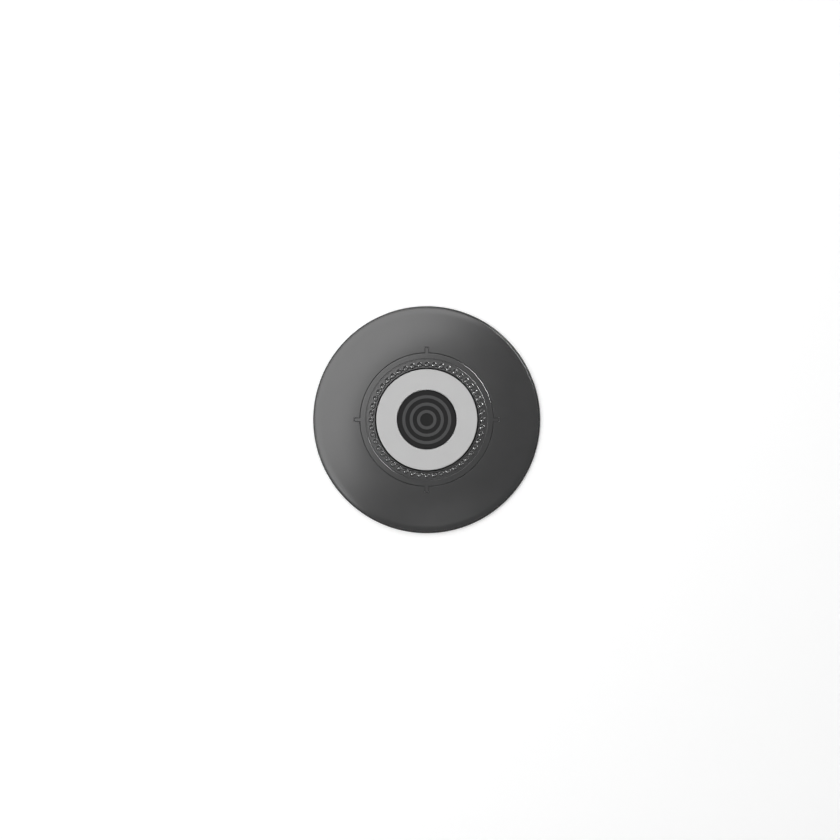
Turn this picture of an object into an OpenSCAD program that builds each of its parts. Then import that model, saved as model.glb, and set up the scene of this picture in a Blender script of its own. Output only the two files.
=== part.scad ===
// Round magnetic phone patch: a low moulded disc with a keyed, toothed index ring,
// a ring magnet and a plain centre cap, on a steel backing disc and a foam adhesive pad.
// Millimetres. The adhesive face lies at z = 0 and the docking side looks along +Z.

/* [Plate] */
// Overall diameter, measured over the thin foot
plate_d = 65; // [64.8:0.1:70]
// Height of the flat face round the index ring
face_z = 3.4; // [3.3:0.05:4]
// Radius at which the flat face begins to fall away
fall_start_r = 19.8; // [19.4:0.1:21]
// Radius at which the fall reaches its full slope
fall_end_r = 26; // [24:0.1:28]
// Slope of the outer face
fall_slope = 2.2; // [1:0.1:4]
// Distance from the overall edge to where the face begins to roll over
roll_start = 2.4; // [2:0.05:3]
// Distance from the overall edge to where the roll meets the edge radius
roll_end = 0.75; // [0.7:0.05:1.2]
// Slope at the end of the roll
roll_slope = 9; // [6:1:20]
// Radius of the top edge
top_edge_r = 0.12; // [0.1:0.02:0.3]
// Width of the thin bead that runs round the foot
bead_w = 0.3; // [0.2:0.05:0.4]
// Top of the bead
bead_z = 1.3; // [1.1:0.05:1.5]
// Underside of the foot, above the adhesive face
foot_z = 0.5; // [0.3:0.05:0.6]

/* [Index ring] */
// Diameter of the parting line between ring and plate
ring_d = 38.14; // [37:0.02:40]
// Number of rounded teeth, one for each click of the mount
tooth_count = 48; // [36:2:54]
// Radius on which the cups of the teeth are centred
cup_pitch_r = 15.85; // [15.8:0.01:15.95]
// Innermost reach of a tooth, from the axis
tooth_tip_r = 15.14; // [15.1:0.01:15.2]
// Radius of the round nose of a tooth
tooth_nose_r = 1.45; // [1.4:0.01:1.6]
// Radius of a cup's raised lip at its foot
lip_foot_r = 0.86; // [0.84:0.01:0.95]
// Radius of a cup's raised lip at its shoulder
lip_shoulder_r = 0.8; // [0.76:0.01:0.82]
// Radius of a cup's raised lip at its crest
lip_crest_r = 0.69; // [0.66:0.01:0.72]
// Height of the lip above the ring's top
lip_h = 0.15; // [0.1:0.01:0.2]
// Radius of the dish in a cup, at the crest
dish_mouth_r = 0.62; // [0.5:0.01:0.65]
// Depth of the dish below the crest
dish_depth = 0.21; // [0.1:0.01:0.25]
// Bore of the ring, round the magnet
ring_bore_d = 29.6; // [29.4:0.02:29.8]
// Height of the collar that stands round the magnet, inside the teeth
collar_z = 3.2; // [3:0.05:3.3]
// Floor of the pockets between the teeth
pocket_z = 2.3; // [2:0.05:2.6]
// Width of the lugs that key the ring to the plate
lug_w = 1.04; // [0.8:0.02:1.4]
// Reach of the lugs beyond the parting line
lug_reach = 1.62; // [1.6:0.02:1.7]

/* [Magnet and cap] */
// Outer diameter of the ring magnet
magnet_d = 28.8; // [28.4:0.02:29.1]
// Inner diameter of the ring magnet
magnet_bore_d = 17.04; // [16:0.02:18]
// Height of the magnet's working face
magnet_z = 3.75; // [3.6:0.05:4.2]
// Height of the centre cap's face
cap_z = 3.3; // [3:0.05:3.5]
// Number of raised rings on the cap
cap_ring_count = 3; // [1:1:3]
// Width of a raised ring on the cap
cap_ring_w = 0.9; // [0.6:0.05:1]

/* [Base] */
// Diameter of the adhesive pad
pad_d = 62.8; // [62:0.1:63]
// Thickness of the adhesive pad
pad_t = 0.8; // [0.6:0.05:0.9]
// Diameter of the steel backing disc
backing_d = 44; // [42.5:0.1:48]
// Thickness of the steel backing disc
backing_t = 0.8; // [0.6:0.05:0.9]

/* [Hidden] */
$fn = 160;

fit = 0.05;              // clearance all round between pieces that seat in each other
edge = 0.1;              // small edge breaks and overlaps
over = 0.5;              // how far cutters run past what they cut
plate_r = plate_d / 2;
pad_r = pad_d / 2;
backing_r = backing_d / 2;
ring_r = ring_d / 2;
ring_bore_r = ring_bore_d / 2;
magnet_r = magnet_d / 2;
magnet_bore_r = magnet_bore_d / 2;
seat_z = pad_t + backing_t;

// Face of the plate: flat, then an arc that falls away, a straight slope, a gentle roll and the edge
fall_r = (fall_end_r - fall_start_r) / sin(fall_slope);
fall_end_z = face_z - fall_r * (1 - cos(fall_slope));
roll_start_r = plate_r - roll_start;
roll_start_z = fall_end_z - (roll_start_r - fall_end_r) * tan(fall_slope);
roll_end_r = plate_r - roll_end;
roll_r = (roll_end_r - roll_start_r) / (sin(roll_slope) - sin(fall_slope));
roll_end_z = roll_start_z - roll_r * (cos(fall_slope) - cos(roll_slope));
bore_edge = 0.08;        // radius of the edge round the index ring
valley_depth = 0.25;     // groove between the wall of the disc and its bead
valley_z = bead_z - valley_depth;

// Flange of the index ring, trapped between the plate's ledge and the backing disc
flange_w = 1.45;
flange_r = ring_r + flange_w;
flange_z = 2.25;

// Shaped band of the index ring
rim_edge = 0.25;         // radius of the ring's outer edge
groove_r = 17.35;
groove_w = 0.3;
groove_depth = 0.1;
ridge_r = 16.3;          // the ring is solid up to its face from here outwards
collar_r = tooth_tip_r + edge;
tooth_centre_r = tooth_tip_r + tooth_nose_r;
moat_foot_r = 0.7;       // shallow conical scallop in the collar, round the nose of each tooth
moat_flare = 2.2;
moat_z = 3.1;
lip_start_r = cup_pitch_r - edge;   // the lip stands only on the outer side of the cup
shoulder_h = 0.1;        // the lip is steep up to here, and then leans in to its crest
crest_z = face_z + lip_h;
dish_r = (dish_mouth_r * dish_mouth_r + dish_depth * dish_depth) / (2 * dish_depth);

// Raised rings of the cap, evenly spaced
cap_r = magnet_bore_r - fit;
cap_ring_pitch = 2.1;
cap_ring_first_r = 1.9;
cap_ring_h = 0.08;

// Points of an arc, from angle a to angle b
function arc(cx, cz, r, a, b, steps) =
    [for (i = [0:steps]) [cx + r * cos(a + (b - a) * i / steps), cz + r * sin(a + (b - a) * i / steps)]];

// Runs its children once for each of n even steps round the axis
module around(n) {
    for (i = [0:n - 1]) rotate([0, 0, i * 360 / n]) children();
}

// Foam disc with adhesive on both faces; its lower face is what sticks to the phone
module adhesive_pad() {
    color([0.11, 0.11, 0.115])
        cylinder(r = pad_r, h = pad_t);
}

// Steel disc that carries the magnet, returns its field and closes the plate from below
module backing_disc() {
    color([0.6, 0.6, 0.6])
        translate([0, 0, pad_t])
            cylinder(r = backing_r, h = backing_t);
}

// Section of the plate, from the edge of its bore down to the backing recess, out to the foot and back
module plate_section() {
    bore_r = ring_r + fit;
    bead_r = bead_w / 2;
    wall_r = roll_end_r + top_edge_r * (1 - sin(roll_slope));
    inner = concat(
        arc(bore_r + bore_edge, face_z - bore_edge, bore_edge, 90, 180, 4),
        [
            [bore_r, flange_z + fit],
            [flange_r + fit, flange_z + fit],
            [flange_r + fit, seat_z],
            [backing_r + fit, seat_z],
            [backing_r + fit, pad_t],
            [pad_r + fit, pad_t],
            [pad_r + fit, foot_z]
        ]
    );
    foot = concat(
        arc(plate_r - bead_r, foot_z + bead_r, bead_r, -90, 0, 4),
        arc(plate_r - bead_r, bead_z - bead_r, bead_r, 0, 180, 10),
        [[plate_r - bead_w, valley_z], [wall_r, valley_z]]
    );
    face = concat(
        arc(roll_end_r - top_edge_r * sin(roll_slope), roll_end_z - top_edge_r * cos(roll_slope),
            top_edge_r, 0, 90 - roll_slope, 12),
        arc(roll_end_r - roll_r * sin(roll_slope), roll_end_z - roll_r * cos(roll_slope),
            roll_r, 90 - roll_slope, 90 - fall_slope, 8),
        arc(fall_start_r, face_z - fall_r, fall_r, 90 - fall_slope, 90, 10)
    );
    polygon(concat(inner, foot, face));
}

// Notch for one lug along +X, with its edges eased at the top
module lug_notch() {
    half = lug_w / 2 + fit;
    end_r = ring_r + lug_reach + fit;
    ease = bore_edge;
    translate([ring_r - over, 0, 0]) rotate([90, 0, 90])
        linear_extrude(end_r - ring_r + over)
            polygon([[-half, seat_z - over], [half, seat_z - over], [half, face_z - ease / 2],
                [half + ease, face_z], [half + ease, face_z + over],
                [-half - ease, face_z + over], [-half - ease, face_z], [-half, face_z - ease / 2]]);
    translate([0, half, 0]) rotate([90, 0, 0])
        linear_extrude(2 * half)
            polygon([[ring_r, face_z - ease / 2], [end_r, face_z - ease / 2], [end_r + ease, face_z],
                [end_r + ease, face_z + over], [ring_r, face_z + over]]);
}

// Moulded disc: flat face that falls away to a rolled edge, thin beaded foot, seats for ring and backing
module patch_plate() {
    color([0.24, 0.24, 0.245])
        difference() {
            rotate_extrude() plate_section();
            around(4) lug_notch();
        }
}

// Lug along +X that stands out of the ring through the plate, with its edges eased at the top
module ring_lug() {
    half = lug_w / 2;
    root = 1;
    start_r = ring_r - root;
    end_r = ring_r + lug_reach;
    ease_w = 0.12;
    ease_z = face_z - ease_w / 2;
    intersection() {
        translate([start_r, 0, 0]) rotate([90, 0, 90])
            linear_extrude(end_r - start_r)
                polygon([[-half, seat_z], [half, seat_z], [half, ease_z],
                    [half - ease_w, face_z], [-half + ease_w, face_z], [-half, ease_z]]);
        translate([0, half + over, 0]) rotate([90, 0, 0])
            linear_extrude(lug_w + 2 * over)
                polygon([[start_r, seat_z], [end_r, seat_z], [end_r, ease_z],
                    [end_r - ease_w, face_z], [start_r, face_z]]);
    }
}

// Section of the ring without its teeth: bore, collar, pocket, band with a fine round groove, flange
module ring_section() {
    groove_round = (groove_w * groove_w / 4 + groove_depth * groove_depth) / (2 * groove_depth);
    groove_half = asin(groove_w / 2 / groove_round);
    polygon(concat(
        [
            [ring_bore_r, seat_z],
            [flange_r, seat_z],
            [flange_r, flange_z],
            [ring_r, flange_z]
        ],
        arc(ring_r - rim_edge, face_z - rim_edge, rim_edge, 0, 90, 6),
        arc(groove_r, face_z - groove_depth + groove_round, groove_round,
            groove_half - 90, -groove_half - 90, 6),
        [
            [ridge_r, face_z],
            [ridge_r, pocket_z],
            [collar_r, pocket_z],
            [collar_r, collar_z],
            [ring_bore_r + edge / 2, collar_z],
            [ring_bore_r, collar_z - edge / 2]
        ]
    ));
}

// Outline of the toothed band: rounded teeth, side by side, that meet in sharp valleys on the inside
module toothed_outline() {
    overlap = edge;
    intersection() {
        difference() {
            circle(r = ridge_r + overlap);
            circle(r = tooth_tip_r - overlap);
        }
        around(tooth_count) translate([tooth_centre_r, 0]) circle(r = tooth_nose_r);
    }
    difference() {
        circle(r = groove_r - groove_w / 2);
        circle(r = ridge_r);
    }
}

// Raised lip round one cup: a steep foot, then a shoulder that leans in to the crest
module cup_lip() {
    sink = 0.1;
    foot_flare = (lip_foot_r - lip_shoulder_r) * sink / shoulder_h;
    translate([cup_pitch_r, 0, face_z - sink])
        cylinder(r1 = lip_foot_r + foot_flare, r2 = lip_shoulder_r, h = shoulder_h + sink);
    translate([cup_pitch_r, 0, face_z + shoulder_h])
        cylinder(r1 = lip_shoulder_r, r2 = lip_crest_r, h = lip_h - shoulder_h);
}

// Index ring: keyed by four lugs, with a dished cup on each of its rounded teeth
module index_ring() {
    tooth_foot_z = pocket_z - edge;
    moat_h = collar_z - moat_z + edge;
    color([0.22, 0.22, 0.225])
        difference() {
            union() {
                difference() {
                    rotate_extrude() ring_section();
                    around(tooth_count)
                        translate([cup_pitch_r, 0, moat_z])
                            cylinder(r1 = moat_foot_r, r2 = moat_foot_r + moat_h * moat_flare, h = moat_h);
                }
                translate([0, 0, tooth_foot_z])
                    linear_extrude(face_z - tooth_foot_z) toothed_outline();
                difference() {
                    around(tooth_count) cup_lip();
                    cylinder(r = lip_start_r, h = crest_z + over);
                }
                around(4) ring_lug();
            }
            around(tooth_count)
                translate([cup_pitch_r, 0, crest_z - dish_depth + dish_r]) sphere(r = dish_r);
        }
}

// Ring magnet with rounded top edges, bonded to the backing disc
module ring_magnet() {
    inner_edge = 0.24;
    outer_edge = 0.14;
    color([0.72, 0.72, 0.72])
        rotate_extrude()
            polygon(concat(
                [[magnet_bore_r, seat_z], [magnet_r, seat_z]],
                arc(magnet_r - outer_edge, magnet_z - outer_edge, outer_edge, 0, 90, 8),
                arc(magnet_bore_r + inner_edge, magnet_z - inner_edge, inner_edge, 90, 180, 8)
            ));
}

// Cap that fills the magnet's bore, with evenly spaced raised rings
module centre_cap() {
    color([0.1, 0.1, 0.105])
        rotate_extrude()
            union() {
                polygon([[0, seat_z], [cap_r, seat_z], [cap_r, cap_z - edge],
                    [cap_r - edge, cap_z], [0, cap_z]]);
                for (i = [0:cap_ring_count - 1])
                    translate([cap_ring_first_r + i * cap_ring_pitch, cap_z - edge])
                        square([cap_ring_w, edge + cap_ring_h]);
            }
}

adhesive_pad();
backing_disc();
patch_plate();
index_ring();
ring_magnet();
centre_cap();
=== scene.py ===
"""Looks of a round magnetic phone patch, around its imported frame. Units are metres."""

import math

import bmesh
import bpy
from bpy.props import FloatProperty, FloatVectorProperty, IntProperty, PointerProperty
from mathutils import Matrix, Vector


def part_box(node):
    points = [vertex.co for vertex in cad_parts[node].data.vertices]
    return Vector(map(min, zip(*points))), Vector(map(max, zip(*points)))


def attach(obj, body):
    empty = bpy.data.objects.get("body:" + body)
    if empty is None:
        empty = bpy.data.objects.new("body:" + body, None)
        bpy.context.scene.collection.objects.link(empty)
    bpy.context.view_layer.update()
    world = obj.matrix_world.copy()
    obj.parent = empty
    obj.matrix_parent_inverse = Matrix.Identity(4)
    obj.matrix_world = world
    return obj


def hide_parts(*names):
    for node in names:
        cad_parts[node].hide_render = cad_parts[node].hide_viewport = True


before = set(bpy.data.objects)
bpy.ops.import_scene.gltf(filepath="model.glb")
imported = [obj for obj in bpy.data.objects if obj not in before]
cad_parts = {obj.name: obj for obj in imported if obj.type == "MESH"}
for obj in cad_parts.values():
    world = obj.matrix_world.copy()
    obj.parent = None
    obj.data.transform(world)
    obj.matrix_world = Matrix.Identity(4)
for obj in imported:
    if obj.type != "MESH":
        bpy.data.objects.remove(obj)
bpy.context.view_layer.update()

bl_info = {
    "name": "Magnetic phone patch",
    "version": (1, 0, 0),
    "blender": (4, 5, 0),
    "location": "View3D > Sidebar > Patch",
    "description": "Dresses a round magnetic phone patch and sets up its stage",
    "category": "Object",
}

MM = 0.001
BODY = "root"

# The photograph's frame, and where the patch lies in it
FRAME_PIXELS = 840
PATCH_WIDTH_PIXELS = 226.7
PATCH_CENTRE_PIXELS = (426.7, 419.7)

# Lamps: the side of the patch that each hangs on, in degrees from +X, and its width and depth in metres.
# A place is the distance from the patch's axis and the height above the patch.
SOFTBOX_AZIMUTH, SOFTBOX_SIZE = 145.7, (0.62, 0.32)
SOFTBOX_WING_SIZE = (0.62, 0.31)
ACCENT_AZIMUTH, ACCENT_SIZE, ACCENT_PLACE = 37, (0.44, 0.24), (0.68, 0.59)
STRIP_AZIMUTH, STRIP_SIZE, STRIP_PLACE = 280, (0.07, 0.04), (0.107, 0.55)

# The world reads as white to glossy rays that rise less than the first share, and not past the second
HORIZON_BAND = (0.06, 0.32)

# How finely the index ring is divided, and the turn between two faces that stays a hard edge
TOOTH_STEPS = 30
PLAIN_STEPS = 6
CUP_ROWS = 31
COLLAR_ROWS = 4
BEVEL_ROWS = 3
GROOVE_ROWS = 16
ROUND_ROWS = 10
SLOT_SHARES = (0.8, 0.6, 0.3, 0.0)
NOSE_SHARES = (0.03, 0.12, 0.27, 0.45, 0.7, 1)
TOOTH_CREASE = math.radians(38)
LUG_CREASE = math.radians(15)
WELD = 0.001 * MM
NO_WIDTH = 0.0001 * MM


def outer_diameter():
    """Width of the patch"""
    low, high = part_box("patch_plate")
    return high[0] - low[0]


class PlateFinish(bpy.types.PropertyGroup):
    """Satin dark grey plastic of the plate and the index ring"""

    plate_colour: FloatVectorProperty(
        name="Plate colour", description="Colour of the moulded plate",
        subtype="COLOR", size=4, min=0, max=1, default=(0.033, 0.033, 0.0335, 1))
    ring_colour: FloatVectorProperty(
        name="Index ring colour", description="Colour of the moulded index ring",
        subtype="COLOR", size=4, min=0, max=1, default=(0.033, 0.033, 0.0335, 1))
    grain: FloatProperty(
        name="Grain", description="Size of the grain that the mould leaves",
        unit="LENGTH", default=0.12 * MM, min=0.02 * MM, max=1 * MM)
    sheen_roughness: FloatProperty(
        name="Roughness", description="Roughness of the satin finish", default=0.18, min=0.1, max=1)


def length(name, description, millimetres):
    """Length setting whose default is given in millimetres"""
    return FloatProperty(
        name=name, description=description, unit="LENGTH", precision=5,
        default=millimetres * MM, min=0, max=100 * MM)


class RingForm(bpy.types.PropertyGroup):
    """Form of the index ring, whose teeth are made finer than in the frame"""

    teeth: IntProperty(name="Teeth", description="Number of teeth", default=48, min=12, max=96)
    lugs: IntProperty(name="Lugs", description="Number of lugs", default=4, min=1, max=12)
    face: length("Face", "Height of the ring's face", 3.4)
    bottom: length("Bottom", "Height of the ring's underside", 1.6)
    bore: length("Bore", "Radius of the bore round the magnet", 14.8)
    edge: length("Edge", "Break of the bore's edge", 0.03)
    flange: length("Flange", "Width of the flange under the plate's ledge", 1.45)
    flange_top: length("Flange top", "Height of the flange's top", 2.25)
    outer: length("Parting line", "Radius of the parting line to the plate", 19.07)
    outer_round: length("Outer edge", "Radius of the edge at the parting line", 0.25)
    groove_at: length("Groove radius", "Radius of the fine groove", 17.35)
    groove_width: length("Groove width", "Width of the fine groove", 0.3)
    groove_depth: length("Groove depth", "Depth of the fine groove", 0.1)
    tip: length("Tooth reach", "Innermost reach of a tooth, from the axis", 15.20)
    nose: length("Tooth nose", "Radius of the round nose of a tooth", 1.45)
    nose_round: length("Nose edge", "Radius of the edge round the nose", 0.12)
    cup_at: length("Cup circle", "Radius on which the cups lie", 15.85)
    lip: length("Lip height", "Height of a cup's lip", 0.14)
    lip_crest: length("Lip crest", "Radius of the lip at its crest", 0.60)
    lip_slope: length("Lip slope", "Width of the lip's outer slope", 0.27)
    dish_mouth: length("Dish", "Radius of the dish at the crest", 0.60)
    dish_depth: length("Dish depth", "Depth of the dish", 0.25)
    slot: length("Slot", "Width of the slot between the teeth and the collar", 0.12)
    pocket: length("Slot floor", "Height of the slot's floor", 2.3)
    collar: length("Collar", "Height of the collar round the magnet", 3.2)
    collar_out: length("Collar reach", "Radius at which the collar's scallops end", 15.40)
    bevel: length("Collar bevel", "Width of the bevel on the collar's outer edge", 0.09)
    bevel_slope: FloatProperty(
        name="Bevel slope", description="Rise of that bevel for its width", default=0.46)
    lug_reach: length("Lug reach", "Reach of the lugs past the parting line", 1.62)
    lug_width: length("Lug width", "Width of the lugs", 1.04)
    lug_ease: length("Lug edge", "Width of the eased edges of a lug", 0.12)


class CoreFinish(bpy.types.PropertyGroup):
    """Magnet, cap and backing disc"""

    magnet_colour: FloatVectorProperty(
        name="Magnet colour", description="Colour of the magnet's matt coating",
        subtype="COLOR", size=4, min=0, max=1, default=(0.48, 0.48, 0.48, 1))
    cap_colour: FloatVectorProperty(
        name="Cap colour", description="Colour of the centre cap",
        subtype="COLOR", size=4, min=0, max=1, default=(0.0055, 0.0055, 0.0057, 1))
    cap_ring_colour: FloatVectorProperty(
        name="Cap ring colour", description="Colour of the raised rings on the cap",
        subtype="COLOR", size=4, min=0, max=1, default=(0.06, 0.06, 0.061, 1))
    # Painted shade: a matt black ring on the backing disc, where it shows at the bottom of the gap round
    # the magnet
    gap_shade_colour: FloatVectorProperty(
        name="Gap shade colour", description="Colour of the painted shade round the magnet",
        subtype="COLOR", size=4, min=0, max=1, default=(0.008, 0.008, 0.008, 1))
    gap_shade_radius: FloatProperty(
        name="Gap shade radius", description="Middle radius of the black painted shade round the magnet",
        unit="LENGTH", default=14.6 * MM, min=0, max=30 * MM)
    gap_shade_width: FloatProperty(
        name="Gap shade width", description="Width of the black painted shade round the magnet",
        unit="LENGTH", default=1.6 * MM, min=0, max=5 * MM)
    cap_ring_step: FloatProperty(
        name="Ring height", description="How far the rings stand above the face of the cap",
        unit="LENGTH", default=0.08 * MM, min=0.02 * MM, max=0.5 * MM)


class PadFinish(bpy.types.PropertyGroup):
    """Foam adhesive pad"""

    colour: FloatVectorProperty(
        name="Foam colour", description="Colour of the acrylic foam",
        subtype="COLOR", size=4, min=0, max=1, default=(0.018, 0.018, 0.019, 1))
    cell: FloatProperty(
        name="Cell size", description="Size of the cells that the cut edge of the foam shows",
        unit="LENGTH", default=0.22 * MM, min=0.05 * MM, max=1 * MM)
    bite: FloatProperty(
        name="Cell depth", description="How deep the cells bite into the cut edge",
        unit="LENGTH", default=0.06 * MM, min=0, max=0.3 * MM)
    steps: IntProperty(
        name="Steps", description="Steps round the edge of the pad", default=720, min=64, max=2000)


class StageSettings(bpy.types.PropertyGroup):
    """Floor, light and camera"""

    camera_height: FloatProperty(
        name="Camera height", description="Height of the camera above the patch",
        unit="LENGTH", default=0.65, min=0.3, max=3)
    floor_size: FloatProperty(
        name="Floor size", description="Width of the floor", unit="LENGTH", default=12.0, min=1, max=50)
    floor_colour: FloatVectorProperty(
        name="Floor colour", description="Colour of the floor",
        subtype="COLOR", size=4, min=0, max=1, default=(0.80, 0.80, 0.80, 1))
    floor_lift: FloatProperty(
        name="Floor lift", description="How much brighter than lit the floor reads as the background",
        default=0.30, min=0, max=1)
    fill: FloatProperty(
        name="Fill", description="Strength of the even light from all sides", default=0.38, min=0, max=2)
    softbox_height: FloatProperty(
        name="Softbox height", description="Height at which the softbox hangs", unit="LENGTH",
        default=0.55, min=0.2, max=2)
    softbox_edge: FloatProperty(
        name="Softbox edge", description="How far the softbox's near edge hangs beside the patch's axis",
        unit="LENGTH", default=0.025, min=0, max=0.2)
    softbox_radiance: FloatProperty(
        name="Softbox radiance", description="Brightness of the softbox", default=4.1, min=0, max=20)
    accent_radiance: FloatProperty(
        name="Accent radiance", description="Brightness of the lamp that makes glints on the edges",
        default=78, min=0, max=500)
    strip_radiance: FloatProperty(
        name="Strip radiance", description="Brightness of the weak strip lamp opposite",
        default=1.4, min=0, max=20)


class Shader:
    """A new material's node tree, with short calls to add and join nodes"""

    def __init__(self, name):
        self.material = bpy.data.materials.new(name)
        self.material.use_nodes = True
        self.tree = self.material.node_tree
        self.surface = self.tree.nodes["Principled BSDF"]

    def add(self, kind, inputs=None, **settings):
        node = self.tree.nodes.new(kind)
        for key, value in settings.items():
            setattr(node, key, value)
        for key, value in (inputs or {}).items():
            self.feed(node.inputs[key], value)
        return node

    def feed(self, socket, value):
        if isinstance(value, bpy.types.NodeSocket):
            self.tree.links.new(value, socket)
        else:
            socket.default_value = value

    def set(self, **inputs):
        for key, value in inputs.items():
            self.feed(self.surface.inputs[key.replace("_", " ")], value)

    def place(self):
        return self.add("ShaderNodeTexCoord").outputs["Object"]

    def noise(self, size, detail=2.0, vector=None):
        """Noise whose blotches are about that size in metres"""
        node = self.add("ShaderNodeTexNoise", {
            "Vector": vector or self.place(), "Scale": 1 / size, "Detail": detail})
        return node.outputs["Fac"]

    def spread(self, value, low, high, start=0.3, end=0.7):
        """Maps a texture's value to a range"""
        node = self.add("ShaderNodeMapRange", {
            "Value": value, "From Min": start, "From Max": end, "To Min": low, "To Max": high})
        return node.outputs["Result"]

    def mix(self, factor, a, b):
        node = self.add("ShaderNodeMix", data_type="RGBA")
        self.feed(node.inputs["Factor"], factor)
        self.feed(node.inputs[6], a)
        self.feed(node.inputs[7], b)
        return node.outputs[2]

    def math(self, operation, *values):
        node = self.add("ShaderNodeMath", operation=operation)
        for socket, value in zip(node.inputs, values):
            self.feed(socket, value)
        return node.outputs["Value"]

    def bump(self, height, depth, strength=1.0, under=None):
        node = self.add("ShaderNodeBump", {"Height": height, "Distance": depth, "Strength": strength})
        if under:
            self.feed(node.inputs["Normal"], under)
        return node.outputs["Normal"]

    def radius(self):
        """Distance from the patch's axis"""
        parts = self.add("ShaderNodeSeparateXYZ", {"Vector": self.place()})
        flat = self.add("ShaderNodeCombineXYZ", {"X": parts.outputs["X"], "Y": parts.outputs["Y"]})
        reach = self.add("ShaderNodeVectorMath", {0: flat.outputs["Vector"]}, operation="LENGTH")
        return reach.outputs["Value"]

    def height(self):
        """Height above the adhesive face"""
        return self.add("ShaderNodeSeparateXYZ", {"Vector": self.place()}).outputs["Z"]


def scaled(colour, factor):
    """A colour made lighter or darker"""
    return tuple(min(1, c * factor) for c in colour[:3]) + (1,)


def moulded_plastic(name, colour, looks):
    """Satin plastic with the fine even grain of an eroded mould"""
    shader = Shader(name)
    cloud = shader.noise(9 * MM, 3.0)
    grain = shader.noise(looks.grain, 3.0)
    shader.set(
        Base_Color=shader.mix(shader.spread(cloud, 0, 1), scaled(colour, 0.94), scaled(colour, 1.06)),
        Roughness=shader.spread(grain, looks.sheen_roughness - 0.01, looks.sheen_roughness + 0.01),
        Specular_IOR_Level=0.5,
        Normal=shader.bump(grain, 0.0006 * MM, 0.3),
    )
    return shader.material


def magnet_coating(looks):
    """Matt light grey coating over the magnet, with faint lapping rings under it"""
    shader = Shader("magnet_coating")
    fine = shader.noise(0.18 * MM, 3.0)
    cloud = shader.noise(6 * MM, 2.0)
    lap = shader.math("SINE", shader.math("MULTIPLY", shader.radius(), 2 * math.pi / (0.25 * MM)))
    colour = looks.magnet_colour
    tone = shader.mix(shader.spread(cloud, 0, 1), scaled(colour, 0.98), scaled(colour, 1.02))
    speck = shader.mix(shader.spread(fine, 0, 1), scaled(colour, 0.97), tone)
    shader.set(
        Base_Color=speck,
        Metallic=0.0,
        Roughness=shader.spread(fine, 0.46, 0.54),
        Specular_IOR_Level=0.35,
        Normal=shader.bump(fine, 0.003 * MM, 0.5, shader.bump(lap, 0.0008 * MM, 0.4)),
    )
    return shader.material


def cap_plastic(looks):
    """Matt black plastic; what stands above the face of the cap is grey"""
    shader = Shader("cap_plastic")
    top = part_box("centre_cap")[1][2]
    half_step = top - looks.cap_ring_step / 2
    raised = shader.math("GREATER_THAN", shader.height(), half_step)
    grain = shader.noise(0.1 * MM, 3.0)
    cloud = shader.noise(3 * MM, 2.0)
    colour = looks.cap_colour
    black = shader.mix(shader.spread(cloud, 0, 1), scaled(colour, 0.92), scaled(colour, 1.08))
    shader.set(
        Base_Color=shader.mix(raised, black, looks.cap_ring_colour),
        Roughness=shader.spread(grain, 0.62, 0.72),
        Specular_IOR_Level=0.11,
        Normal=shader.bump(grain, 0.004 * MM, 0.5),
    )
    return shader.material


def backing_steel(looks):
    """Zinc-plated sheet steel with straight rolling marks, and a matt black ring of painted shade round the
    magnet, where the disc shows at the bottom of the gap beside the magnet
    """
    shader = Shader("backing_steel")
    stretched = shader.add("ShaderNodeMapping", {"Vector": shader.place(), "Scale": (1, 30, 30)})
    rolled_marks = shader.noise(4 * MM, 4.0, stretched.outputs["Vector"])
    steel = shader.mix(shader.spread(rolled_marks, 0, 1), (0.46, 0.47, 0.48, 1), (0.58, 0.59, 0.60, 1))
    # Painted shade: the disc turns matt black, not metallic, where it lies at the bottom of the gap round
    # the magnet
    off_ring = shader.math("ABSOLUTE", shader.math("SUBTRACT", shader.radius(), looks.gap_shade_radius))
    in_gap_shade = shader.math("LESS_THAN", off_ring, looks.gap_shade_width / 2)
    shader.set(
        Base_Color=shader.mix(in_gap_shade, steel, looks.gap_shade_colour),
        Metallic=shader.math("SUBTRACT", 1.0, in_gap_shade),
        Roughness=shader.math("MAXIMUM", shader.spread(rolled_marks, 0.28, 0.42),
                              shader.math("MULTIPLY", in_gap_shade, 0.7)),
        Specular_IOR_Level=0.2,
        Normal=shader.bump(rolled_marks, 0.004 * MM, 0.4),
    )
    return shader.material


def foam(looks):
    """Closed-cell acrylic foam, a little tacky and bright on its faces, dull on its cut edge, with painted
    shade that darkens the middle of each cell, where its bump sinks
    """
    shader = Shader("adhesive_foam")
    cells = shader.add("ShaderNodeTexVoronoi", {"Vector": shader.place(), "Scale": 1 / looks.cell})
    distance = cells.outputs["Distance"]
    cloud = shader.noise(5 * MM, 3.0)
    colour = looks.colour
    # Painted shade in the cells: darker in the middle of each cell, where the bump sinks, lighter on the
    # cell walls
    tone = shader.mix(shader.spread(distance, 0, 1, 0, 0.7), scaled(colour, 0.6), scaled(colour, 1.5))
    shader.set(
        Base_Color=shader.mix(shader.spread(cloud, 0, 0.4), tone, scaled(colour, 1.8)),
        Roughness=shader.spread(cloud, 0.42, 0.62),
        Normal=shader.bump(distance, 0.03 * MM, 0.5),
    )
    return shader.material


def dress(node, material):
    """Gives a frame node its material"""
    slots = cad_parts[node].data.materials
    if len(slots) == 0:
        slots.append(material)
    for index in range(len(slots)):
        slots[index] = material


class PATCH_OT_plate(bpy.types.Operator):
    """Dress the moulded plate"""

    bl_idname = "patch.plate"
    bl_label = "Plate"

    def execute(self, context):
        looks = context.scene.patch_plate
        dress("patch_plate", moulded_plastic("plate_plastic", looks.plate_colour, looks))
        return {"FINISHED"}


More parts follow.
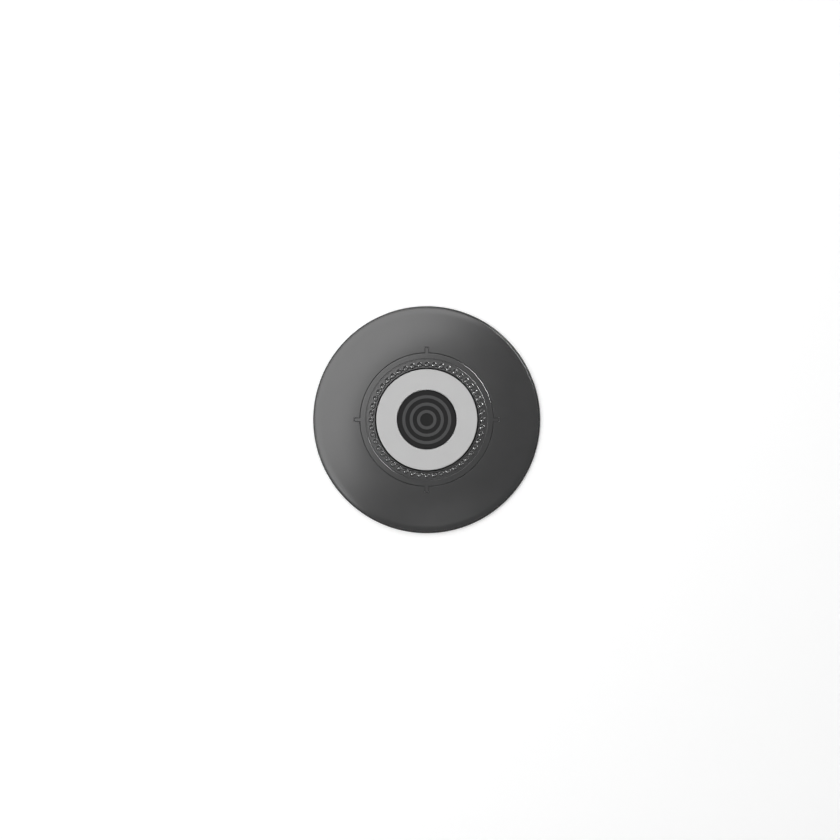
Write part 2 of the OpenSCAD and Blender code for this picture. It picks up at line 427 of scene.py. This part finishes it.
class PATCH_OT_core(bpy.types.Operator):
    """Dress the ring magnet, the centre cap and the backing disc"""

    bl_idname = "patch.core"
    bl_label = "Magnet, cap and backing"

    def execute(self, context):
        looks = context.scene.patch_core
        dress("ring_magnet", magnet_coating(looks))
        dress("centre_cap", cap_plastic(looks))
        dress("backing_disc", backing_steel(looks))
        return {"FINISHED"}


class Tree:
    """A new Geometry Nodes tree with named inputs, and short calls to add and join nodes"""

    def __init__(self, name, inputs):
        self.group = bpy.data.node_groups.new(name, "GeometryNodeTree")
        for label, kind in inputs.items():
            self.group.interface.new_socket(label, in_out="INPUT", socket_type=kind)
        self.group.interface.new_socket("Geometry", in_out="OUTPUT", socket_type="NodeSocketGeometry")
        self.given = self.group.nodes.new("NodeGroupInput").outputs

    def add(self, kind, inputs=None, **settings):
        node = self.group.nodes.new(kind)
        for key, value in settings.items():
            setattr(node, key, value)
        for key, value in (inputs or {}).items():
            if isinstance(value, bpy.types.NodeSocket):
                self.group.links.new(value, node.inputs[key])
            else:
                node.inputs[key].default_value = value
        return node

    def math(self, operation, *values):
        return self.add("ShaderNodeMath", dict(enumerate(values)), operation=operation).outputs["Value"]

    def vector_math(self, operation, a, b, output="Vector"):
        return self.add("ShaderNodeVectorMath", {0: a, 1: b}, operation=operation).outputs[output]

    def finish(self, geometry, material):
        """Ends the tree in plain geometry with its material"""
        real = self.add("GeometryNodeRealizeInstances", {"Geometry": geometry}).outputs["Geometry"]
        dressed = self.add("GeometryNodeSetMaterial", {"Geometry": real, "Material": material})
        end = self.group.nodes.new("NodeGroupOutput")
        self.group.links.new(dressed.outputs["Geometry"], end.inputs["Geometry"])
        return self.group


def grown(name, group, values, start=None):
    """Plain mesh object that a Geometry Nodes tree makes from the given inputs and a starting mesh"""
    piece = bpy.data.objects.new(name, start or bpy.data.meshes.new(name))
    bpy.context.scene.collection.objects.link(piece)
    modifier = piece.modifiers.new(name, "NODES")
    modifier.node_group = group
    for socket in group.interface.items_tree:
        if socket.in_out == "INPUT" and socket.name in values:
            modifier[socket.identifier] = values[socket.name]
    ready = piece.evaluated_get(bpy.context.evaluated_depsgraph_get())
    mesh = bpy.data.meshes.new_from_object(ready)
    piece.modifiers.clear()
    piece.data = mesh
    return piece


def around_axis_tree():
    """Repeats the starting mesh in even steps round the axis and welds the seams"""
    tree = Tree("around_axis", {
        "Pattern": "NodeSocketGeometry", "Count": "NodeSocketInt", "Weld": "NodeSocketFloat",
        "Material": "NodeSocketMaterial"})
    given = tree.given
    points = tree.add("GeometryNodePoints", {"Count": given["Count"]}).outputs[0]
    index = tree.add("GeometryNodeInputIndex").outputs["Index"]
    turn = tree.math("DIVIDE", tree.math("MULTIPLY", index, 2 * math.pi), given["Count"])
    angles = tree.add("ShaderNodeCombineXYZ", {"Z": turn}).outputs["Vector"]
    copies = tree.add("GeometryNodeInstanceOnPoints", {
        "Points": points, "Instance": given["Pattern"], "Rotation": angles}).outputs["Instances"]
    real = tree.add("GeometryNodeRealizeInstances", {"Geometry": copies}).outputs["Geometry"]
    welded = tree.add("GeometryNodeMergeByDistance", {"Geometry": real, "Distance": given["Weld"]})
    return tree.finish(welded.outputs["Geometry"], given["Material"])


def ease(value, start, end):
    """Goes smoothly from 0 at start to 1 at end"""
    share = min(1, max(0, (value - start) / (end - start)))
    return share * share * (3 - 2 * share)


def rolled(depth, radius):
    """Drop of a rounded edge at some depth in from its outermost line"""
    return radius - math.sqrt(radius ** 2 - (radius - depth) ** 2) if depth < radius else 0


def nose_reach(turn, form):
    """Radius at which a tooth ends on the inside, at an angle from its middle"""
    centre = form.tip + form.nose
    return centre * math.cos(turn) - math.sqrt(form.nose ** 2 - (centre * math.sin(turn)) ** 2)


def groove_drop(reach, form):
    """Depth of the fine round groove at a radius"""
    half, depth = form.groove_width / 2, form.groove_depth
    ball = (half ** 2 + depth ** 2) / (2 * depth)
    across = min(abs(reach - form.groove_at), half)
    return math.sqrt(ball ** 2 - across ** 2) - (ball - depth)


def ring_top(reach, turn, form):
    """Height of the index ring's top at a radius and an angle from the middle of a tooth"""
    inward = nose_reach(turn, form) - reach
    if inward > NO_WIDTH:
        return collar_top(inward, slot_width(turn, form), form)
    x, y = reach * math.cos(turn), reach * math.sin(turn)
    past_nose = x > form.tip + form.nose
    inside = form.nose if past_nose else form.nose - math.hypot(x - form.tip - form.nose, y)
    edges = rolled(form.outer - reach, form.outer_round) + rolled(max(0, inside), form.nose_round)
    return cup_top(x - form.cup_at, y, form.face - groove_drop(reach, form) - edges, form)


def cup_top(out, side, top, form):
    """Adds a cup to a tooth: a dish, with a lip that is open towards the axis and steeper at its sides"""
    away = math.hypot(out, side)
    facing = out / max(away, WELD)
    slope = form.lip_slope * (0.45 + 0.55 * ease(facing, 0.1, 0.9))
    raised = form.lip * ease(facing, -0.6, 0.0) * (1 - ease(away, form.lip_crest, form.lip_crest + slope))
    depth = form.dish_depth * max(0, 1 - (away / form.dish_mouth) ** 4)
    return min(top + raised, form.face + form.lip - depth)


def slot_width(turn, form):
    """Width of the slot that follows the noses: widest at the valleys, where the collar's scallops end"""
    return max(form.slot, nose_reach(turn, form) - form.collar_out)


def collar_top(inward, slot, form):
    """Height of the collar round the magnet, at a distance in from the nose of a tooth"""
    bevel = max(0, slot + form.bevel - inward) * form.bevel_slope
    rise = ease(inward, slot * 0.6, slot)
    return form.pocket + (form.collar - bevel - form.pocket) * rise


def tooth_rows(form, turn):
    """Radii of the fine lines at an angle, from the bore over the collar, the slot, the nose and the cup"""
    nose = nose_reach(turn, form)
    slot = slot_width(turn, form)
    inner, ledge = form.bore + form.edge, nose - slot - form.bevel
    start, end = nose + form.nose_round, form.cup_at + form.lip_crest + form.lip_slope
    near_groove = form.groove_at - form.groove_width
    lines = [form.bore, inner]
    lines += [inner + (ledge - inner) * step / COLLAR_ROWS for step in range(1, COLLAR_ROWS + 1)]
    lines += [ledge + form.bevel * step / BEVEL_ROWS for step in range(1, BEVEL_ROWS + 1)]
    lines += [nose - slot * share for share in SLOT_SHARES]
    lines += [nose + form.nose_round * share for share in NOSE_SHARES]
    lines += [start + (end - start) * step / CUP_ROWS for step in range(1, CUP_ROWS + 1)]
    return lines + [(end + near_groove) / 2, near_groove]


def plain_rows(form):
    """Radii of the lines outside the cups: the groove and the rounded outer edge"""
    half = GROOVE_ROWS // 2
    lines = [form.groove_at + form.groove_width * step / GROOVE_ROWS for step in range(-half, half + 1)]
    lines += [form.groove_at + form.groove_width, form.outer - form.outer_round * 1.1]
    quarter = [math.sin(math.pi / 2 * step / ROUND_ROWS) for step in range(ROUND_ROWS + 1)]
    return lines + [form.outer - form.outer_round * (1 - share) for share in quarter]


def ring_points(form):
    """Rows of points, each a radius, an angle and a height, that go once round the ring's section"""
    pitch = 2 * math.pi / form.teeth
    turns = [pitch * (step / TOOTH_STEPS - 0.5) for step in range(TOOTH_STEPS + 1)]
    sparse = turns[::TOOTH_STEPS // PLAIN_STEPS]
    rows = []
    for line in zip(*(tooth_rows(form, turn) for turn in turns)):
        rows.append([(reach, turn, ring_top(reach, turn, form)) for reach, turn in zip(line, turns)])
    rows[0] = [(reach, turn, z - form.edge) for reach, turn, z in rows[0]]
    for reach in plain_rows(form):
        rows.append([(reach, turn, ring_top(reach, turn, form)) for turn in sparse])
    flange_out = form.outer + form.flange
    under = ((form.outer, form.flange_top), (flange_out, form.flange_top), (flange_out, form.bottom),
             (form.bore, form.bottom))
    for reach, z in under:
        rows.append([(reach, turn, z) for turn in sparse])
    return rows


def ring_pattern(form):
    """One tooth's share of the index ring: a closed band, finely divided where it has detail"""
    rows = ring_points(form)
    verts = [(r * math.cos(t), r * math.sin(t), z) for row in rows for r, t, z in row]
    starts = [sum(len(row) for row in rows[:index]) for index in range(len(rows))]
    faces = []
    for index in range(len(rows)):
        after = (index + 1) % len(rows)
        near, far = len(rows[index]) - 1, len(rows[after]) - 1
        shared = min(near, far)
        for step in range(shared):
            inner = [starts[index] + step * near // shared + move for move in range(near // shared + 1)]
            outer = [starts[after] + step * far // shared + move for move in range(far // shared + 1)]
            faces.append(outer + inner[::-1])
    mesh = bpy.data.meshes.new("ring_pattern")
    mesh.from_pydata(verts, [], faces)
    return mesh


def ring_lug(form):
    """Lug along +X that stands out of the ring, with its edges eased at the top"""
    start, end, half = form.outer - form.outer_round, form.outer + form.lug_reach, form.lug_width / 2
    levels = ((form.bottom, 0), (form.face - form.lug_ease / 2, 0), (form.face, form.lug_ease))
    verts = []
    for z, inset in levels:
        verts += [(start, -half + inset, z), (end - inset, -half + inset, z),
                  (end - inset, half - inset, z), (start, half - inset, z)]
    faces = [(3, 2, 1, 0), (8, 9, 10, 11)]
    for level in (0, 4):
        faces += [(level + step, level + (step + 1) % 4, level + 4 + (step + 1) % 4, level + 4 + step)
                  for step in range(4)]
    mesh = bpy.data.meshes.new("ring_lug")
    mesh.from_pydata(verts, [], faces)
    return mesh


def joined(name, pieces):
    """One smooth piece made of several, each given with the turn of its faces past which an edge is hard"""
    shape = bmesh.new()
    for piece, crease in pieces:
        before = len(shape.edges)
        shape.from_mesh(piece.data)
        shape.edges.ensure_lookup_table()
        for edge in shape.edges[before:]:
            edge.smooth = edge.calc_face_angle(0) < crease
    for face in shape.faces:
        face.smooth = True
    whole = pieces[0][0]
    shape.to_mesh(whole.data)
    shape.free()
    for piece, crease in pieces[1:]:
        bpy.data.objects.remove(piece)
    whole.name = name
    return whole


class PATCH_OT_index_ring(bpy.types.Operator):
    """Make the index ring from one finely divided tooth and one lug, both repeated round the axis"""

    bl_idname = "patch.index_ring"
    bl_label = "Index ring"

    def execute(self, context):
        form, looks = context.scene.patch_ring, context.scene.patch_plate
        tree = around_axis_tree()
        shared = {"Weld": WELD, "Material": moulded_plastic("ring_plastic", looks.ring_colour, looks)}
        band = grown("band", tree, {"Count": form.teeth, **shared}, ring_pattern(form))
        lugs = grown("lugs", tree, {"Count": form.lugs, **shared}, ring_lug(form))
        ring = joined("toothed_ring", [(band, TOOTH_CREASE), (lugs, LUG_CREASE)])
        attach(ring, BODY)
        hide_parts("index_ring")
        return {"FINISHED"}


def foam_tree():
    """Die-cut disc: flat faces, and an edge that the cells of the foam have bitten"""
    tree = Tree("foam_disc", {
        "Radius": "NodeSocketFloat", "Thickness": "NodeSocketFloat", "Cell": "NodeSocketFloat",
        "Bite": "NodeSocketFloat", "Steps": "NodeSocketInt", "Material": "NodeSocketMaterial"})
    given = tree.given
    disc = tree.add("GeometryNodeMeshCylinder", {
        "Vertices": given["Steps"], "Side Segments": 8, "Fill Segments": 6,
        "Radius": given["Radius"], "Depth": given["Thickness"]}).outputs["Mesh"]
    place = tree.add("GeometryNodeInputPosition").outputs["Position"]
    parts = tree.add("ShaderNodeSeparateXYZ", {"Vector": place}).outputs
    flat = tree.add("ShaderNodeCombineXYZ", {"X": parts["X"], "Y": parts["Y"]}).outputs["Vector"]
    reach = tree.vector_math("LENGTH", flat, (0, 0, 0), "Value")
    near_rim = tree.math("GREATER_THAN", reach, tree.math("MULTIPLY", given["Radius"], 0.999))
    from_middle = tree.math("ABSOLUTE", parts["Z"])
    off_faces = tree.math("LESS_THAN", from_middle, tree.math("MULTIPLY", given["Thickness"], 0.45))
    cells = tree.add("ShaderNodeTexNoise", {
        "Vector": place, "Scale": tree.math("DIVIDE", 1.0, given["Cell"]), "Detail": 2.0}).outputs["Fac"]
    bitten = tree.math("MAXIMUM", tree.math("MULTIPLY_ADD", cells, 4.0, -1.8), 0.0)
    depth = tree.math("MULTIPLY", bitten, tree.math("MULTIPLY", given["Bite"], -1.0))
    masked = tree.math("MULTIPLY", depth, tree.math("MULTIPLY", near_rim, off_faces))
    outward = tree.vector_math("NORMALIZE", flat, (0, 0, 0))
    shift = tree.add("ShaderNodeVectorMath", {0: outward, "Scale": masked}, operation="SCALE")
    shaped = tree.add("GeometryNodeSetPosition", {"Geometry": disc, "Offset": shift.outputs["Vector"]})
    lift = tree.add("ShaderNodeCombineXYZ", {"Z": tree.math("MULTIPLY", given["Thickness"], 0.5)})
    seated = tree.add("GeometryNodeTransform", {
        "Geometry": shaped.outputs["Geometry"], "Translation": lift.outputs["Vector"]})
    return tree.finish(seated.outputs["Geometry"], given["Material"])


class PATCH_OT_foam_pad(bpy.types.Operator):
    """Make the die-cut foam adhesive pad under the plate"""

    bl_idname = "patch.foam_pad"
    bl_label = "Foam adhesive pad"

    def execute(self, context):
        looks = context.scene.patch_pad
        low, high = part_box("adhesive_pad")
        pad = grown("foam_pad", foam_tree(), {
            "Radius": (high[0] - low[0]) / 2, "Thickness": high[2] - low[2], "Cell": looks.cell,
            "Bite": looks.bite, "Steps": looks.steps, "Material": foam(looks)})
        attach(pad, BODY)
        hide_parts("adhesive_pad")
        return {"FINISHED"}


def floor_paint(colour, lift):
    """Pale floor that keeps shadows and reads as white to the camera and in reflections"""
    shader = Shader("floor_paint")
    path = shader.add("ShaderNodeLightPath").outputs
    mirrored = shader.math("MAXIMUM", path["Is Glossy Ray"], path["Is Transmission Ray"])
    seen = shader.math("MAXIMUM", path["Is Camera Ray"], mirrored)
    shader.set(Base_Color=colour, Roughness=0.9, Specular_IOR_Level=0.1,
               Emission_Color=(1, 1, 1, 1), Emission_Strength=shader.math("MULTIPLY", seen, lift))
    return shader.material


def even_light(settings):
    """World that fills the shadows evenly and reads as a white room round the horizon"""
    world = bpy.data.worlds.new("even_light")
    world.use_nodes = True
    tree = world.node_tree

    def math_node(operation, a, b):
        node = tree.nodes.new("ShaderNodeMath")
        node.operation = operation
        tree.links.new(a, node.inputs[0])
        tree.links.new(b, node.inputs[1])
        return node.outputs["Value"]

    path = tree.nodes.new("ShaderNodeLightPath").outputs
    way = tree.nodes.new("ShaderNodeTexCoord").outputs["Generated"]
    parts = tree.nodes.new("ShaderNodeSeparateXYZ")
    tree.links.new(way, parts.inputs["Vector"])
    band = tree.nodes.new("ShaderNodeMapRange")
    tree.links.new(parts.outputs["Z"], band.inputs["Value"])
    low, high = HORIZON_BAND
    for name, value in {"From Min": low, "From Max": high, "To Min": 1, "To Max": 0}.items():
        band.inputs[name].default_value = value
    mirrored = math_node("MAXIMUM", path["Is Glossy Ray"], path["Is Transmission Ray"])
    horizon = math_node("MULTIPLY", mirrored, band.outputs["Result"])
    seen = math_node("MAXIMUM", path["Is Camera Ray"], horizon)
    strength = tree.nodes.new("ShaderNodeMapRange")
    strength.inputs["To Min"].default_value = settings.fill
    strength.inputs["To Max"].default_value = 1.0
    tree.links.new(seen, strength.inputs["Value"])
    background = tree.nodes["Background"]
    background.inputs["Color"].default_value = (1, 1, 1, 1)
    tree.links.new(strength.outputs["Result"], background.inputs["Strength"])
    return world


def area_lamp(name, radiance, size, azimuth, place, aim=0, glints_only=False):
    """A rectangular lamp on one side of the patch, aimed at a distance from the axis on that side"""
    width, depth = size
    lamp = bpy.data.lights.new(name, "AREA")
    lamp.shape = "RECTANGLE"
    lamp.size = width
    lamp.size_y = depth
    lamp.energy = radiance * math.pi * width * depth
    holder = bpy.data.objects.new(name, lamp)
    turn = Matrix.Rotation(math.radians(azimuth), 4, "Z")
    out, high = place
    hung, aimed_at = turn @ Vector((out, 0, high)), turn @ Vector((aim, 0, 0))
    across = (turn @ Vector((0, 1, 0))).normalized()
    back = (hung - aimed_at).normalized()
    up = back.cross(across)
    holder.matrix_world = Matrix.Translation(hung) @ Matrix((across, up, back)).transposed().to_4x4()
    holder.visible_camera = False
    holder.visible_diffuse = not glints_only
    bpy.context.scene.collection.objects.link(holder)


class PATCH_OT_stage(bpy.types.Operator):
    """Make the floor, the lamps and the camera, which looks straight down on the patch"""

    bl_idname = "patch.stage"
    bl_label = "Stage"

    def execute(self, context):
        settings = context.scene.patch_stage
        self.floor(settings)
        self.light(context.scene, settings)
        self.camera(context.scene, settings)
        context.scene.view_settings.view_transform = "Standard"
        return {"FINISHED"}

    def floor(self, settings):
        half = settings.floor_size / 2
        below = -0.02 * MM
        mesh = bpy.data.meshes.new("floor")
        corners = [(-half, -half, below), (half, -half, below), (half, half, below), (-half, half, below)]
        mesh.from_pydata(corners, [], [(0, 1, 2, 3)])
        floor = bpy.data.objects.new("floor", mesh)
        floor.data.materials.append(floor_paint(settings.floor_colour, settings.floor_lift))
        bpy.context.scene.collection.objects.link(floor)

    def light(self, scene, settings):
        scene.world = even_light(settings)
        high, depth = settings.softbox_height, SOFTBOX_SIZE[1]
        middle = settings.softbox_edge + depth / 2
        area_lamp("softbox", settings.softbox_radiance, SOFTBOX_SIZE, SOFTBOX_AZIMUTH,
                  (middle, high), aim=middle)
        area_lamp("softbox_wing", settings.softbox_radiance, SOFTBOX_WING_SIZE, SOFTBOX_AZIMUTH,
                  (middle + depth, high), aim=middle + depth, glints_only=True)
        area_lamp("accent_lamp", settings.accent_radiance, ACCENT_SIZE, ACCENT_AZIMUTH, ACCENT_PLACE,
                  glints_only=True)
        area_lamp("strip_lamp", settings.strip_radiance, STRIP_SIZE, STRIP_AZIMUTH, STRIP_PLACE)

    def camera(self, scene, settings):
        metres_per_pixel = outer_diameter() / PATCH_WIDTH_PIXELS
        middle = FRAME_PIXELS / 2
        lens = bpy.data.cameras.new("camera")
        lens.lens = lens.sensor_width * settings.camera_height / (FRAME_PIXELS * metres_per_pixel)
        lens.clip_start = 0.01
        camera = bpy.data.objects.new("camera", lens)
        camera.location = (
            (middle - PATCH_CENTRE_PIXELS[0]) * metres_per_pixel,
            (PATCH_CENTRE_PIXELS[1] - middle) * metres_per_pixel,
            settings.camera_height,
        )
        scene.collection.objects.link(camera)
        scene.camera = camera


class PATCH_PT_sidebar(bpy.types.Panel):
    """Lists the patch's pieces and its stage"""

    bl_idname = "PATCH_PT_sidebar"
    bl_label = "Phone patch"
    bl_space_type = "VIEW_3D"
    bl_region_type = "UI"
    bl_category = "Patch"

    def draw(self, context):
        for operator in OPERATORS:
            self.layout.operator(operator.bl_idname)
        for group in GROUPS:
            settings = getattr(context.scene, group)
            box = self.layout.box()
            for name in settings.bl_rna.properties.keys():
                if name not in {"rna_type", "name"}:
                    box.prop(settings, name)


GROUPS = {
    "patch_plate": PlateFinish,
    "patch_ring": RingForm,
    "patch_core": CoreFinish,
    "patch_pad": PadFinish,
    "patch_stage": StageSettings,
}
OPERATORS = (PATCH_OT_stage, PATCH_OT_plate, PATCH_OT_index_ring, PATCH_OT_core, PATCH_OT_foam_pad)


def register():
    for group in GROUPS.values():
        bpy.utils.register_class(group)
    for name, group in GROUPS.items():
        setattr(bpy.types.Scene, name, PointerProperty(type=group))
    for operator in OPERATORS:
        bpy.utils.register_class(operator)
    bpy.utils.register_class(PATCH_PT_sidebar)


def unregister():
    bpy.utils.unregister_class(PATCH_PT_sidebar)
    for operator in reversed(OPERATORS):
        bpy.utils.unregister_class(operator)
    for name, group in GROUPS.items():
        delattr(bpy.types.Scene, name)
        bpy.utils.unregister_class(group)


def main():
    register()
    bpy.ops.patch.stage()
    bpy.ops.patch.plate()
    bpy.ops.patch.index_ring()
    bpy.ops.patch.core()
    bpy.ops.patch.foam_pad()


if __name__ == "__main__":
    main()
